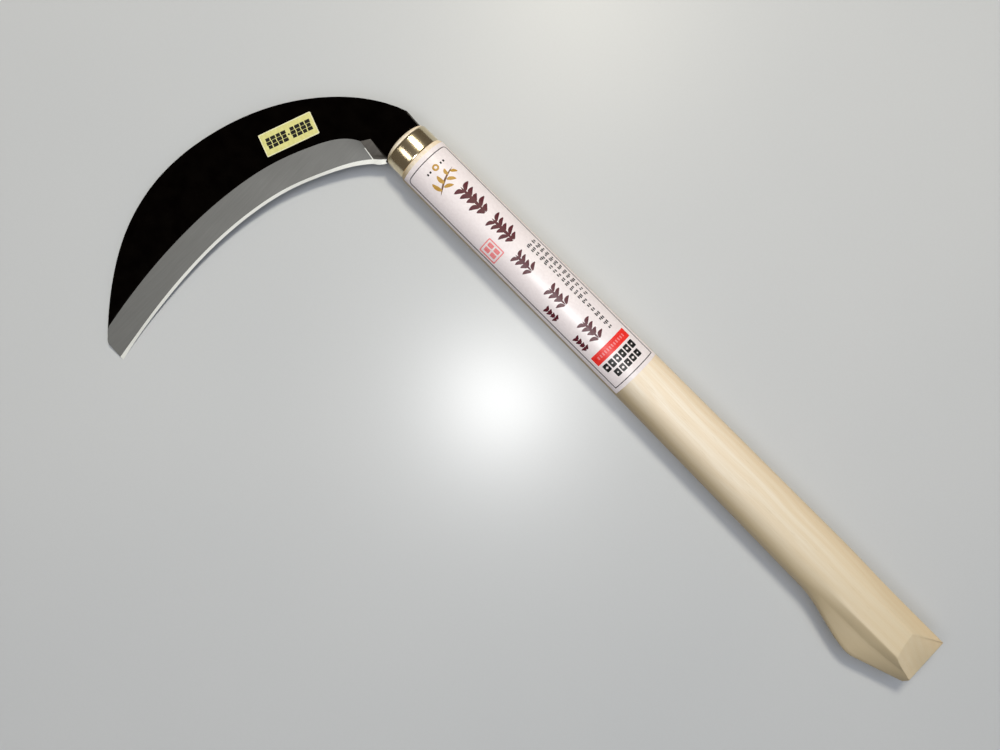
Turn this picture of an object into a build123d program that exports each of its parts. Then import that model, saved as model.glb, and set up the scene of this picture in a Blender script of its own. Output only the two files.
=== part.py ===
from build123d import *

import os
from math import asin, cos, degrees, hypot, radians, sin

# Hand sickle, in millimetres. The origin is on the handle's axis at the middle
# of the grip, +X runs along the handle toward the blade, +Y points to the side
# that the blade's point is on, and +Z is up when the sickle lies on a table.

# ---------------------------------------------------------------- dimensions

# Handle: one piece of wood, oval in section, with a flared and faceted butt.
HANDLE_HEIGHT = 20.5
BUTT_X = -102.2
FLARE_X = -34.0             # where the flare starts
HEEL_X = -74.7              # the flare's corner
BUTT_CHAMFER = 16.6         # length of the sloping cuts at the end
BUTT_FACE_HEIGHT = 8.0      # what they leave of the end face
SHOULDER_X = 242.6          # where the handle reaches its full width

# Ferrule: a plated tube pressed over the front of the handle.
FERRULE_FRONT_X = 255.0
FERRULE_LENGTH = 10.2
FERRULE_WIDTH = 25.5
FERRULE_HEIGHT = 19.4
FERRULE_WALL = 0.6
FERRULE_EDGE_ROUND = 0.25
NOSE_DOME = 3.4             # how far the wood stands out of the ferrule
FERRULE_REAR_X = FERRULE_FRONT_X - FERRULE_LENGTH

# Blade: flat on its back, ground to one bevel on the upper side.
BLADE_THICKNESS = 3.0
STEEL_THICKNESS = 0.6       # hard steel on the flat back, along the edge
STRIP_WIDTH = 2.0           # honed strip along the cutting edge
TIP_Y = 175.8

# Tang and the pin that holds it.
TANG_LENGTH = 82.0
TANG_WIDTH_FRONT = 13.0
TANG_WIDTH_REAR = 6.5
TANG_THICKNESS = 2.4        # set in a little from both faces of the blade
PIN_X = 222.0
PIN_DIAMETER = 3.2
PIN_CLEARANCE = 0.02

# Paper on the tool.
PAPER = 0.2
LABEL_END_X = 96.3
STICKER_LENGTH = 28.3
STICKER_WIDTH = 11.6
STICKER_CENTRE = (299.2, 37.0)
STICKER_ANGLE = 69.4

# The blade leans, so that its point and the handle touch the same table.
BLADE_TILT = degrees(asin((HANDLE_HEIGHT / 2 - BLADE_THICKNESS / 2) / TIP_Y))
BLADE_NORMAL = Vector(0, sin(radians(BLADE_TILT)), cos(radians(BLADE_TILT)))
BLADE_BACK = Plane(origin=BLADE_NORMAL * (-BLADE_THICKNESS / 2), x_dir=(1, 0, 0), z_dir=BLADE_NORMAL)

# ------------------------------------------------------------ blade outlines

NECK_X = FERRULE_FRONT_X + 0.05
NECK_BACK = (NECK_X, -11.2)
NECK_CORNER = (265.7, -11.8)
SPINE = [
    NECK_CORNER,
    (281.8, -3.7),
    (297.7, 9.9),
    (315.9, 35.2),
    (327.0, 64.1),
    (330.9, 94.6),
    (325.5, 124.5),
    (311.7, 150.8),
    (294.4, 172.2),
]
POINT_ROUND = (293.3, 173.5)
POINT_CORNER = (291.6, 174.6)
POINT = (281.6, TIP_Y)
HEEL = (255.6, 12.9)
HEEL_ROUND = (257.5, 15.7)
EDGE = [
    (260.2, 17.8),
    (265.9, 24.9),
    (273.2, 37.8),
    (281.2, 57.0),
    (285.9, 77.0),
    (288.2, 98.0),
    (288.4, 118.0),
    (287.1, 139.0),
    (284.9, 158.0),
    POINT,
]

# The hard steel on the flat back reaches in from the edge as far as this.
LAP = [
    (258.6, 9.0),
    (279.0, 14.0),
    (297.0, 38.0),
    (306.0, 70.0),
    (308.5, 103.0),
    (303.5, 137.0),
    (289.0, 178.0),
]

# Where the honed strip ends on the upper side, and where the bevel starts.
# Each place on one curve is opposite the same place on the other.
STRIP = [
    (261.6, 16.2),
    (267.4, 23.8),
    (274.5, 37.3),
    (282.5, 56.6),
    (287.2, 76.8),
    (289.5, 97.9),
    (289.7, 118.1),
    (288.4, 139.2),
    (286.1, 158.3),
    (283.2, 178.0),
]
BEVEL_TOP = [
    (271.7, 14.6),
    (277.9, 19.0),
    (286.9, 33.0),
    (294.5, 51.4),
    (299.8, 74.0),
    (302.2, 97.0),
    (302.5, 118.0),
    (301.3, 139.0),
    (299.0, 158.0),
    (295.6, 178.0),
]
HEEL_STRIP_ROUND = (259.0, 14.0)
HEEL_TOP = (256.6, 11.0)

# Toward the heel the bevel runs out in one ramp, with a small step beside it.
RUN_OUT_FOOT = (257.3, 11.9)
RUN_OUT_CORNER = (268.9, 10.3)
BEYOND = 12.0               # how far a cutting shape reaches past the blade


def mix(first, second, amount):
    return tuple(a + (b - a) * amount for a, b in zip(first, second))


HEEL_STRIP = mix(HEEL, LAP[0], STRIP_WIDTH / hypot(HEEL[0] - LAP[0][0], HEEL[1] - LAP[0][1]))


def round_the_spine(near_point, near_heel):
    """Corners of a region that takes in the blade on the spine's side of a curve."""
    right = 331.0 + BEYOND
    bottom = -12.0 - BEYOND
    left = NECK_X - BEYOND
    outside = HEEL[1] + BEYOND
    return [
        near_point,
        (right, near_point[1]),
        (right, bottom),
        (left, bottom),
        (left, outside),
        (near_heel[0], outside),
        near_heel,
    ]


with BuildSketch(BLADE_BACK) as blade_outline:
    with BuildLine():
        Line(NECK_BACK, NECK_CORNER)
        Spline(*SPINE)
        ThreePointArc(SPINE[-1], POINT_ROUND, POINT_CORNER)
        Line(POINT_CORNER, POINT)
        Spline(*EDGE)
        ThreePointArc(EDGE[0], HEEL_ROUND, HEEL)
        Polyline(HEEL, (NECK_X, HEEL[1] - 0.6), NECK_BACK)
    make_face()

# -------------------------------------------------------- handle's sections

OVAL_ANGLES = (18, 35, 60, 112, 162)
FACET_CROWN = 0.12
TOP_FACET = HANDLE_HEIGHT / 2 - FACET_CROWN
TOP_CREASES = (8.5, -5.0)   # y of the creases on either side of the top facet
SIDE_CREASE_HEIGHT = 6.5    # the sloping side is broken once, a third of the way out
SIDE_CREASE_SHARE = 0.33
FRONT_EDGE_HEIGHT = 0.9     # half the thickness of the edges on the two sides
BACK_EDGE_HEIGHT = 3.4


def oval_point(angle, back, front, height):
    """Point on the handle's oval, measured round from its +Y side."""
    middle = (front + back) / 2
    half = (front - back) / 2
    return (middle + half * cos(radians(angle)), height / 2 * sin(radians(angle)))


def oval_section(back, front, height=HANDLE_HEIGHT):
    """Ten places round the oval, each with the place halfway to the next."""
    angles = list(OVAL_ANGLES) + [360 - angle for angle in reversed(OVAL_ANGLES)]
    corners = [oval_point(angle, back, front, height) for angle in angles]
    halfway = []
    for angle, following in zip(angles, angles[1:] + [angles[0] + 360]):
        halfway.append(oval_point((angle + following) / 2, back, front, height))
    return corners, halfway


def faceted_section(back, front):
    """The same ten places where the handle is cut in slightly crowned facets."""
    upper = [
        (front, FRONT_EDGE_HEIGHT),
        (TOP_CREASES[0] + (front - TOP_CREASES[0]) * SIDE_CREASE_SHARE, SIDE_CREASE_HEIGHT),
        (TOP_CREASES[0], TOP_FACET),
        (TOP_CREASES[1], TOP_FACET),
        (back, BACK_EDGE_HEIGHT),
    ]
    corners = upper + [(y, -z) for y, z in reversed(upper)]
    halfway = []
    for corner, following in zip(corners, corners[1:] + corners[:1]):
        chord = mix(corner, following, 0.5)
        halfway.append(mix((0, 0), chord, 1 + FACET_CROWN / hypot(*chord)))
    return corners, halfway


def section_plane(x):
    return Plane(origin=(x, 0, 0), x_dir=(0, 1, 0), z_dir=(1, 0, 0))


def draw_section(x, section):
    """One closed section across the handle at x."""
    corners, halfway = section
    with BuildSketch(section_plane(x)) as drawn:
        with BuildLine():
            for index, corner in enumerate(corners):
                ThreePointArc(corner, halfway[index], corners[(index + 1) % len(corners)])
        make_face()
    return drawn.sketch


# Where the oval grip's -Y and +Y sides are: x, back, front.
GRIP = [
    (SHOULDER_X, -13.5, 13.5),
    (LABEL_END_X, -13.9, 14.2),
    (FLARE_X, -14.2, 16.2),
]
HEEL_SECTION = faceted_section(-13.1, 23.3)
BUTT_SECTION = faceted_section(-13.1, 14.0)
FLARE_STEPS = 6


def flare_section(along):
    """A section between the grip and the heel, where the side runs out in an S."""
    swell = along * along * (3 - 2 * along)
    start = oval_section(*GRIP[-1][1:])
    return [
        [mix(first, second, swell) for first, second in zip(*places)]
        for places in zip(start, HEEL_SECTION)
    ]


SPIGOT_WIDTH = FERRULE_WIDTH - 2 * FERRULE_WALL
SPIGOT_HEIGHT = FERRULE_HEIGHT - 2 * FERRULE_WALL
DOME_ANGLES = (0, 30, 52, 70, 82)

# --------------------------------------------------------------- tang shape

TANG_FRONT_X = FERRULE_FRONT_X + NOSE_DOME
TANG_REAR_X = TANG_FRONT_X - TANG_LENGTH

with BuildPart() as tang_form:
    with BuildSketch(BLADE_BACK.offset((BLADE_THICKNESS - TANG_THICKNESS) / 2)):
        with BuildLine():
            Polyline(
                (TANG_FRONT_X + 2, -TANG_WIDTH_FRONT / 2),
                (TANG_FRONT_X + 2, TANG_WIDTH_FRONT / 2),
                (TANG_REAR_X, TANG_WIDTH_REAR / 2),
                (TANG_REAR_X, -TANG_WIDTH_REAR / 2),
                close=True,
            )
        make_face()
    extrude(amount=TANG_THICKNESS)

with BuildPart() as spigot_form:
    for angle in DOME_ANGLES:
        shrink = cos(radians(angle))
        with BuildSketch(section_plane(FERRULE_FRONT_X + NOSE_DOME * sin(radians(angle)))):
            Ellipse(SPIGOT_WIDTH / 2 * shrink, SPIGOT_HEIGHT / 2 * shrink)
    loft()
    with BuildSketch(section_plane(FERRULE_REAR_X)):
        Ellipse(SPIGOT_WIDTH / 2, SPIGOT_HEIGHT / 2)
    extrude(amount=FERRULE_LENGTH)

# ------------------------------------------------------------------- handle

CHAMFER_DROP = (HANDLE_HEIGHT - BUTT_FACE_HEIGHT) / 2
CHAMFER_SLOPE = CHAMFER_DROP / BUTT_CHAMFER
CHAMFER_SKEW = 0.21         # the cut starts a little further forward on the -Y side

with BuildPart() as handle:
    collar = oval_section(-FERRULE_WIDTH / 2, FERRULE_WIDTH / 2, FERRULE_HEIGHT)
    add(draw_section(FERRULE_REAR_X, collar))
    add(draw_section(SHOULDER_X, oval_section(*GRIP[0][1:])))
    loft(ruled=True)
    for front_end, rear_end in zip(GRIP, GRIP[1:]):
        for x, back, front in (front_end, rear_end):
            add(draw_section(x, oval_section(back, front)))
        loft(ruled=True)
    for step in range(FLARE_STEPS + 1):
        x = FLARE_X + (HEEL_X - FLARE_X) * step / FLARE_STEPS
        add(draw_section(x, flare_section(step / FLARE_STEPS)))
    loft()
    add(draw_section(HEEL_X, HEEL_SECTION))
    add(draw_section(BUTT_X, BUTT_SECTION))
    loft(ruled=True)
    # sloping cuts over and under the butt's end
    for side in (1, -1):
        start = (BUTT_X + BUTT_CHAMFER, 1.75, side * HANDLE_HEIGHT / 2)
        outward = Vector(-CHAMFER_SLOPE, -CHAMFER_SLOPE * CHAMFER_SKEW, side)
        split(bisect_by=Plane(origin=start, z_dir=outward), keep=Keep.BOTTOM)
    add(spigot_form.part)
    add(tang_form.part, mode=Mode.SUBTRACT)
    with Locations((PIN_X, 0, 0)):
        Cylinder(PIN_DIAMETER / 2 + PIN_CLEARANCE, 2 * HANDLE_HEIGHT, mode=Mode.SUBTRACT)

# ------------------------------------------------------------------ ferrule

with BuildPart() as ferrule:
    with BuildSketch(section_plane(FERRULE_REAR_X)):
        Ellipse(FERRULE_WIDTH / 2, FERRULE_HEIGHT / 2)
        Ellipse(SPIGOT_WIDTH / 2, SPIGOT_HEIGHT / 2, mode=Mode.SUBTRACT)
    extrude(amount=FERRULE_LENGTH)
    rims = ferrule.faces().filter_by(Axis.X).edges()
    outer_rims = rims.sort_by(SortBy.LENGTH)[-2:]
    fillet(outer_rims, radius=FERRULE_EDGE_ROUND)

# -------------------------------------------------------------------- blade

# Everything on the spine's side of the bevel, from the hard steel upward.
BEVEL_LEVELS = (
    (STEEL_THICKNESS, STRIP, RUN_OUT_FOOT, HEEL_STRIP),
    (BLADE_THICKNESS, BEVEL_TOP, RUN_OUT_CORNER, HEEL_TOP),
)

with BuildPart() as bevel_form:
    for height, curve, corner, near_heel in BEVEL_LEVELS:
        with BuildSketch(BLADE_BACK.offset(height)):
            with BuildLine():
                Spline(*curve)
                Polyline(*round_the_spine(curve[-1], near_heel))
                Polyline(near_heel, corner, curve[0])
            make_face()
    loft(ruled=True)

# The hard steel, with its honed strip, before it is cut to the blade's outline.
STEEL_LEVELS = (
    (0, EDGE, HEEL_ROUND, HEEL),
    (STEEL_THICKNESS, STRIP, HEEL_STRIP_ROUND, HEEL_STRIP),
)

with BuildPart() as edge_steel:
    add(blade_outline.sketch)
    extrude(amount=STEEL_THICKNESS)
    for height, curve, heel_round, heel in STEEL_LEVELS:
        with BuildSketch(BLADE_BACK.offset(height)):
            with BuildLine():
                Spline(*curve)
                Line(curve[-1], LAP[-1])
                Spline(*LAP)
                Line(LAP[0], heel)
                ThreePointArc(heel, heel_round, curve[0])
            make_face()
    loft(ruled=True, mode=Mode.INTERSECT)

with BuildPart() as blade_body:
    add(blade_outline.sketch)
    extrude(amount=BLADE_THICKNESS)
    add(bevel_form.part, mode=Mode.INTERSECT)
    add(blade_outline.sketch)
    extrude(amount=STEEL_THICKNESS)
    # the seat of the hard steel
    with BuildSketch(BLADE_BACK):
        with BuildLine():
            Spline(*LAP)
            Polyline(LAP[-1], (POINT[0] - BEYOND, LAP[-1][1]), (HEEL[0] - BEYOND, HEEL[1] + BEYOND))
            Polyline((HEEL[0] - BEYOND, HEEL[1] + BEYOND), HEEL, LAP[0])
        make_face()
    extrude(amount=STEEL_THICKNESS, mode=Mode.SUBTRACT)
    # shoulders shaped to the handle's domed nose, and the tang behind them
    add(spigot_form.part, mode=Mode.SUBTRACT)
    add(tang_form.part)
    with Locations((PIN_X, 0, 0)):
        Cylinder(PIN_DIAMETER / 2 + PIN_CLEARANCE, 2 * HANDLE_HEIGHT, mode=Mode.SUBTRACT)

# ----------------------------------------------------------------------- pin

PIN_LENGTH = HANDLE_HEIGHT - 0.1

with BuildPart() as tang_pin:
    with Locations((PIN_X, 0, 0)):
        Cylinder(PIN_DIAMETER / 2, PIN_LENGTH)
    chamfer(tang_pin.edges(), length=0.3)

# --------------------------------------------------------------- paper pieces

# The label covers the upper part of the oval between its front two stations.
with BuildPart() as handle_label:
    for x, back, front in GRIP[:2]:
        inner, inner_middles = oval_section(back, front)
        outer, outer_middles = oval_section(back - PAPER, front + PAPER, HANDLE_HEIGHT + 2 * PAPER)
        last = len(OVAL_ANGLES) - 1
        with BuildSketch(section_plane(x)):
            with BuildLine():
                for index in range(last):
                    ThreePointArc(outer[index], outer_middles[index], outer[index + 1])
                    ThreePointArc(inner[index], inner_middles[index], inner[index + 1])
                Line(outer[0], inner[0])
                Line(outer[last], inner[last])
            make_face()
    loft(ruled=True)

with BuildPart() as blade_sticker:
    with BuildSketch(BLADE_BACK.offset(BLADE_THICKNESS)):
        with Locations(Location(STICKER_CENTRE, STICKER_ANGLE)):
            Rectangle(STICKER_LENGTH, STICKER_WIDTH)
    extrude(amount=PAPER)

# -------------------------------------------------------------------- export

handle.part.label = "handle"
ferrule.part.label = "ferrule"
blade_body.part.label = "blade_body"
edge_steel.part.label = "edge_steel"
tang_pin.part.label = "tang_pin"
handle_label.part.label = "handle_label"
blade_sticker.part.label = "blade_sticker"

os.makedirs("parts", exist_ok=True)
export_step(handle.part, "parts/handle.step")
export_step(ferrule.part, "parts/ferrule.step")
export_step(blade_body.part, "parts/blade_body.step")
export_step(edge_steel.part, "parts/edge_steel.step")
export_step(tang_pin.part, "parts/tang_pin.step")
export_step(handle_label.part, "parts/handle_label.step")
export_step(blade_sticker.part, "parts/blade_sticker.step")
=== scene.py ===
from contextlib import contextmanager
from math import acos, asin, cos, degrees, dist, hypot, pi, radians, sin

import bmesh
import bpy
import numpy as np
from mathutils import Matrix, Vector
from mathutils.geometry import delaunay_2d_cdt


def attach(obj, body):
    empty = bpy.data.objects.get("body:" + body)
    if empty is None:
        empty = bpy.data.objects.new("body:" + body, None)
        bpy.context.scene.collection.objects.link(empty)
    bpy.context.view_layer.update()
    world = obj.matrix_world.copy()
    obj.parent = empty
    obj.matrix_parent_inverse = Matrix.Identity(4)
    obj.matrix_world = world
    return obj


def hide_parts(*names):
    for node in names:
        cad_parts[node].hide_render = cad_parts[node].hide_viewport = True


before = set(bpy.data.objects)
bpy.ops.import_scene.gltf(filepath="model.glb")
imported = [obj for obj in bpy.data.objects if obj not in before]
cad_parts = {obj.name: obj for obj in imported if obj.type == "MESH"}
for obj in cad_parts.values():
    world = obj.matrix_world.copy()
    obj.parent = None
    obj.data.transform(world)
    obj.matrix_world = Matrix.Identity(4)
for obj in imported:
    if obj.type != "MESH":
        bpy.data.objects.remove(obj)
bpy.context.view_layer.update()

# Sizes are in millimetres, in the CAD model's frame. MM turns them into metres.
MM = 0.001

# ---- driving values

HANDLE_HEIGHT = 20.5
BUTT_X = -102.2
FLARE_X = -34.0
HEEL_X = -74.7
BUTT_CHAMFER = 16.6
BUTT_FACE_HEIGHT = 8.0
SHOULDER_X = 242.6
FERRULE_FRONT_X = 255.0
FERRULE_LENGTH = 10.2
FERRULE_REAR_X = FERRULE_FRONT_X - FERRULE_LENGTH
FERRULE_WIDTH = 25.5
FERRULE_HEIGHT = 19.4
FERRULE_WALL = 0.6
NOSE_DOME = 3.4
NOSE_GAP = 0.02             # round the nose, where the blade is cut to fit it
SPIGOT_WIDTH = FERRULE_WIDTH - 2 * FERRULE_WALL
SPIGOT_HEIGHT = FERRULE_HEIGHT - 2 * FERRULE_WALL

BLADE_THICKNESS = 3.0
STEEL_THICKNESS = 0.6
STRIP_WIDTH = 2.0
TIP_Y = 175.8
BLADE_TILT = asin((HANDLE_HEIGHT / 2 - BLADE_THICKNESS / 2) / TIP_Y)

TANG_FRONT_X = FERRULE_FRONT_X + NOSE_DOME
TANG_LENGTH = 82.0
TANG_REAR_X = TANG_FRONT_X - TANG_LENGTH
TANG_WIDTH_FRONT = 13.0
TANG_WIDTH_REAR = 6.5
TANG_THICKNESS = 2.4
SLOT_GAP = 0.01             # round the tang, in the handle's slot
PIN_X = 222.0
PIN_HOLE_RADIUS = 1.62
PIN_CUTTER_LENGTH = 30.0

PAPER = 0.2
LABEL_END_X = 96.3
STICKER_LENGTH = 28.3
STICKER_WIDTH = 11.6
STICKER_CENTRE = (299.2, 37.0)
STICKER_ANGLE = radians(69.4)
STICKER_GAP = 0.01          # between the blade and the sticker's underside

TABLE_Z = -HANDLE_HEIGHT / 2 * MM

# ---- camera

CAMERA_PLACE = (0.1426, 0.0472, 0.41635)
CAMERA_TURN = radians(225)
CAMERA_LENS = 30.6


def placed(name, data):
    """A new object in the scene."""
    made = bpy.data.objects.new(name, data)
    bpy.context.scene.collection.objects.link(made)
    return made


def place_camera():
    data = bpy.data.cameras.new("camera")
    data.lens = CAMERA_LENS
    data.sensor_width = 36.0
    data.clip_start = 0.01
    camera = placed("camera", data)
    camera.location = CAMERA_PLACE
    camera.rotation_euler = (0, 0, CAMERA_TURN)
    bpy.context.scene.camera = camera


# ---- curves, in plan


def mix(first, second, amount):
    return tuple(a + (b - a) * amount for a, b in zip(first, second))


def paced(points):
    """The points, the steps between them, and how far along each one lies."""
    points = np.array(points, float)
    steps = np.linalg.norm(np.diff(points, axis=0), axis=1)
    return points, steps, np.concatenate(([0.0], np.cumsum(steps)))


def leftward(curve):
    """The direction to the left of a curve, at each of its points."""
    ahead = np.gradient(curve, axis=0)
    ahead /= np.linalg.norm(ahead, axis=1)[:, None]
    return np.column_stack((-ahead[:, 1], ahead[:, 0]))


def spline(points, count=240):
    """Points along the cubic spline through the given ones, paced by chord length."""
    knots, steps, at = paced(points)
    size = len(at)
    left = np.zeros((size, size))
    right = np.zeros((size, 2))
    for end, chosen in ((0, slice(0, 4)), (-1, slice(-4, None))):
        left[end, end] = 1
        for axis in (0, 1):
            right[end, axis] = np.polyfit(at[chosen] - at[end], knots[chosen, axis], 3)[2]
    for index in range(1, size - 1):
        before, after = steps[index - 1], steps[index]
        left[index, index - 1:index + 2] = (1 / before, 2 / before + 2 / after, 1 / after)
        rise = (knots[index] - knots[index - 1]) / before**2
        right[index] = 3 * (rise + (knots[index + 1] - knots[index]) / after**2)
    slopes = np.linalg.solve(left, right)
    where = np.linspace(0, at[-1], count)
    span = np.clip(np.searchsorted(at, where, side="right") - 1, 0, size - 2)
    t = ((where - at[span]) / steps[span])[:, None]
    pace = steps[span][:, None]
    value = (2 * t**3 - 3 * t**2 + 1) * knots[span] + (3 * t**2 - 2 * t**3) * knots[span + 1]
    turn = (t**3 - 2 * t**2 + t) * slopes[span] + (t**3 - t**2) * slopes[span + 1]
    return value + turn * pace


def arc(first, middle, last, count):
    """Points along the circular arc through three points."""
    (ax, ay), (bx, by), (cx, cy) = first, middle, last
    d = 2 * (ax * (by - cy) + bx * (cy - ay) + cx * (ay - by))
    a2, b2, c2 = ax * ax + ay * ay, bx * bx + by * by, cx * cx + cy * cy
    centre = np.array((
        (a2 * (by - cy) + b2 * (cy - ay) + c2 * (ay - by)) / d,
        (a2 * (cx - bx) + b2 * (ax - cx) + c2 * (bx - ax)) / d,
    ))
    spokes = [np.array(point) - centre for point in (first, middle, last)]
    angles = np.unwrap([np.arctan2(spoke[1], spoke[0]) for spoke in spokes])
    radius = np.linalg.norm(spokes[0])
    sweep = np.linspace(angles[0], angles[2], count)
    return centre + radius * np.stack((np.cos(sweep), np.sin(sweep)), axis=1)


def resampled(points, count):
    """The same line with evenly spaced points."""
    points, _, at = paced(points)
    where = np.linspace(0, at[-1], count)
    return np.stack([np.interp(where, at, points[:, axis]) for axis in (0, 1)], axis=1)


# ---- mesh building


def new_mesh(name, corners, faces, materials, kinds):
    """A smooth-shaded mesh. Its corners are given in millimetres."""
    data = bpy.data.meshes.new(name)
    data.from_pydata([Vector(corner) * MM for corner in corners], [], faces)
    for material in materials:
        data.materials.append(material)
    data.polygons.foreach_set("material_index", kinds)
    data.polygons.foreach_set("use_smooth", [True] * len(faces))
    data.update()
    return data


class Shell:
    """Faces gathered by their corners. Corners in one place are shared."""

    def __init__(self):
        self.corners = []
        self.places = {}
        self.faces = []
        self.kinds = []

    def corner(self, point):
        key = tuple(round(float(value), 3) for value in point)
        if key not in self.places:
            self.places[key] = len(self.corners)
            self.corners.append(tuple(float(value) for value in point))
        return self.places[key]

    def face(self, points, kind=0):
        ids = [self.corner(point) for point in points]
        ids = [one for index, one in enumerate(ids) if one != ids[index - 1]]
        if len(set(ids)) > 2:
            self.faces.append(ids)
            self.kinds.append(kind)

    def strip(self, first, second, kind=0, closed=False):
        """Quads between two rows. Seen from outside, first is below and runs to the left."""
        count = len(first)
        for index in range(count if closed else count - 1):
            following = (index + 1) % count
            self.face((first[following], first[index], second[index], second[following]), kind)

    def fill(self, points, kind=0):
        """Triangles over one flat outline, which runs anticlockwise as seen from outside."""
        points = np.array(points, float)
        middle = points.mean(axis=0)
        normal = np.cross(points - middle, np.roll(points, -1, axis=0) - middle).sum(axis=0)
        normal /= np.linalg.norm(normal)
        across = np.cross(normal, (0.0, 0.0, 1.0) if abs(normal[2]) < 0.9 else (0.0, 1.0, 0.0))
        across /= np.linalg.norm(across)
        up = np.cross(normal, across)
        flat = [Vector(((point - middle) @ across, (point - middle) @ up)) for point in points]
        places, _, triangles, origins, _, _ = delaunay_2d_cdt(flat, [], [list(range(len(flat)))], 1, 1e-5)
        for triangle in triangles:
            self.face([
                points[origins[one][0]] if origins[one]
                else middle + across * places[one].x + up * places[one].y
                for one in triangle
            ], kind)

    def slab(self, outline, low, high):
        """A flat solid over an outline that runs anticlockwise from above."""
        bottom, lid = raised(outline, low), raised(outline, high)
        self.face(bottom[::-1])
        self.face(lid)
        self.strip(lid, bottom, closed=True)

    def tube(self, rings):
        """A solid over rings that follow one another from the front to the rear."""
        self.fill(rings[0])
        for front, rear in zip(rings, rings[1:]):
            self.strip(rear, front, closed=True)
        self.fill(rings[-1][::-1])

    def mesh(self, name, materials, smooth_below=35, move=None):
        corners = [move(corner) for corner in self.corners] if move else self.corners
        data = new_mesh(name, corners, self.faces, materials, self.kinds)
        data.set_sharp_from_angle(angle=radians(smooth_below))
        return data


def raised(points, height):
    """Plan points as corners at one height, or each at its own."""
    heights = np.broadcast_to(height, (len(points),))
    return [(point[0], point[1], level) for point, level in zip(points, heights)]


def add_piece(data, replaced):
    piece = placed(data.name, data)
    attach(piece, "root")
    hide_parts(replaced)


@contextmanager
def editing(data):
    """The mesh opened for changes, which are written back afterwards."""
    work = bmesh.new()
    work.from_mesh(data)
    yield work
    work.to_mesh(data)
    work.free()


def outward(data):
    """The closed mesh in triangles, all turned outward."""
    with editing(data) as work:
        bmesh.ops.recalc_face_normals(work, faces=work.faces)
        bmesh.ops.triangulate(work, faces=work.faces, quad_method="FIXED")
    return data


WELD = 0.001 * MM           # corners this near to each other become one


def combined(data, *steps, smooth_below=35):
    """The mesh after cutting away or joining other meshes, one after another."""
    name, piece, others = data.name, placed("work", data), []
    for operation, other_data in steps:
        others.append(placed("work_other", other_data))
        change = piece.modifiers.new(operation, "BOOLEAN")
        change.operation = operation
        change.solver = "EXACT"
        change.object = others[-1]
    bpy.context.view_layer.update()
    seen = piece.evaluated_get(bpy.context.evaluated_depsgraph_get())
    result = bpy.data.meshes.new_from_object(seen)
    for helper in [piece] + others:
        bpy.data.objects.remove(helper)
    bpy.data.meshes.remove(data)
    result.name = name
    result.set_sharp_from_angle(angle=radians(smooth_below))
    with editing(result) as work:
        bmesh.ops.remove_doubles(work, verts=work.verts, dist=WELD)
        bmesh.ops.dissolve_degenerate(work, edges=work.edges, dist=WELD)
        # the crease between two finishes is a clear one
        for edge in work.edges:
            if len({face.material_index for face in edge.link_faces}) > 1:
                edge.smooth = False
    return result


# ---- materials


class Paint:
    """A procedural material in the making. Patterns use the frame's own coordinates."""

    def __init__(self, name, **inputs):
        self.material = bpy.data.materials.new(name)
        self.material.use_nodes = True
        self.tree = self.material.node_tree
        self.shader = self.tree.nodes["Principled BSDF"]
        self.feed(self.shader, inputs)
        self.place = self.node("TexCoord").outputs["Object"]

    def feed(self, node, inputs):
        """Gives a node's inputs, named or numbered, values or other nodes' outputs."""
        for key, value in inputs.items():
            socket = node.inputs[key.replace("_", " ") if isinstance(key, str) else key]
            if isinstance(value, bpy.types.NodeSocket):
                self.tree.links.new(value, socket)
            else:
                socket.default_value = value

    def node(self, kind, **inputs):
        made = self.tree.nodes.new("ShaderNode" + kind)
        self.feed(made, inputs)
        return made

    def scaled(self, scale, shift=(0, 0, 0), source=None):
        node = self.node("Mapping", Vector=source or self.place, Scale=scale, Location=shift)
        return node.outputs["Vector"]

    def noise(self, scale, detail=3.0, roughness=0.5, source=None):
        where = self.scaled(scale, source=source)
        node = self.node("TexNoise", Vector=where, Scale=1.0, Detail=detail, Roughness=roughness)
        return node.outputs["Fac"]

    def ramp(self, amount, *stops):
        """Starts the colour: hex digits at places between 0 and 1."""
        node = self.node("ValToRGB", Fac=amount)
        for element, (place, code) in zip(node.color_ramp.elements, stops):
            element.position = place
            element.color = tone(code)
        self.base = node.outputs["Color"]

    def tint(self, code, amount, *ends):
        """Mixes in a colour, by an amount that may be spread to other ends first."""
        node = self.node("Mix")
        node.data_type = "RGBA"
        share = self.spread(amount, *ends) if ends else amount
        self.feed(node, {0: share, 6: self.base, 7: tone(code)})
        self.base = node.outputs[2]

    def pair(self, kind, operation, first, second):
        """A math node of two inputs."""
        node = self.node(kind)
        node.operation = operation
        self.feed(node, {0: first, 1: second})
        return node.outputs[0]

    def spread(self, amount, from_low, from_high, to_low, to_high):
        """The amount moved from one range to another, and kept inside it."""
        ends = {"From_Min": from_low, "From_Max": from_high, "To_Min": to_low, "To_Max": to_high}
        return self.node("MapRange", Value=amount, **ends).outputs["Result"]

    def finish(self, rough, low, high, bumps=None, depth=0.0, strength=1.0):
        """Links the colour, the roughness and, if there are any, the bumps to the shader."""
        roughness = self.spread(rough, 0.3, 0.7, low, high)
        self.feed(self.shader, {"Base Color": self.base, "Roughness": roughness})
        if bumps:
            node = self.node("Bump", Height=bumps, Distance=depth, Strength=strength)
            self.feed(self.shader, {"Normal": node.outputs["Normal"]})
        return self.material


def tone(code):
    """A colour written as six hex digits, in the renderer's linear values."""
    channels = [int(code[start:start + 2], 16) / 255 for start in (0, 2, 4)]
    linear = [c / 12.92 if c < 0.04045 else ((c + 0.055) / 1.055) ** 2.4 for c in channels]
    return (*linear, 1.0)


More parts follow.
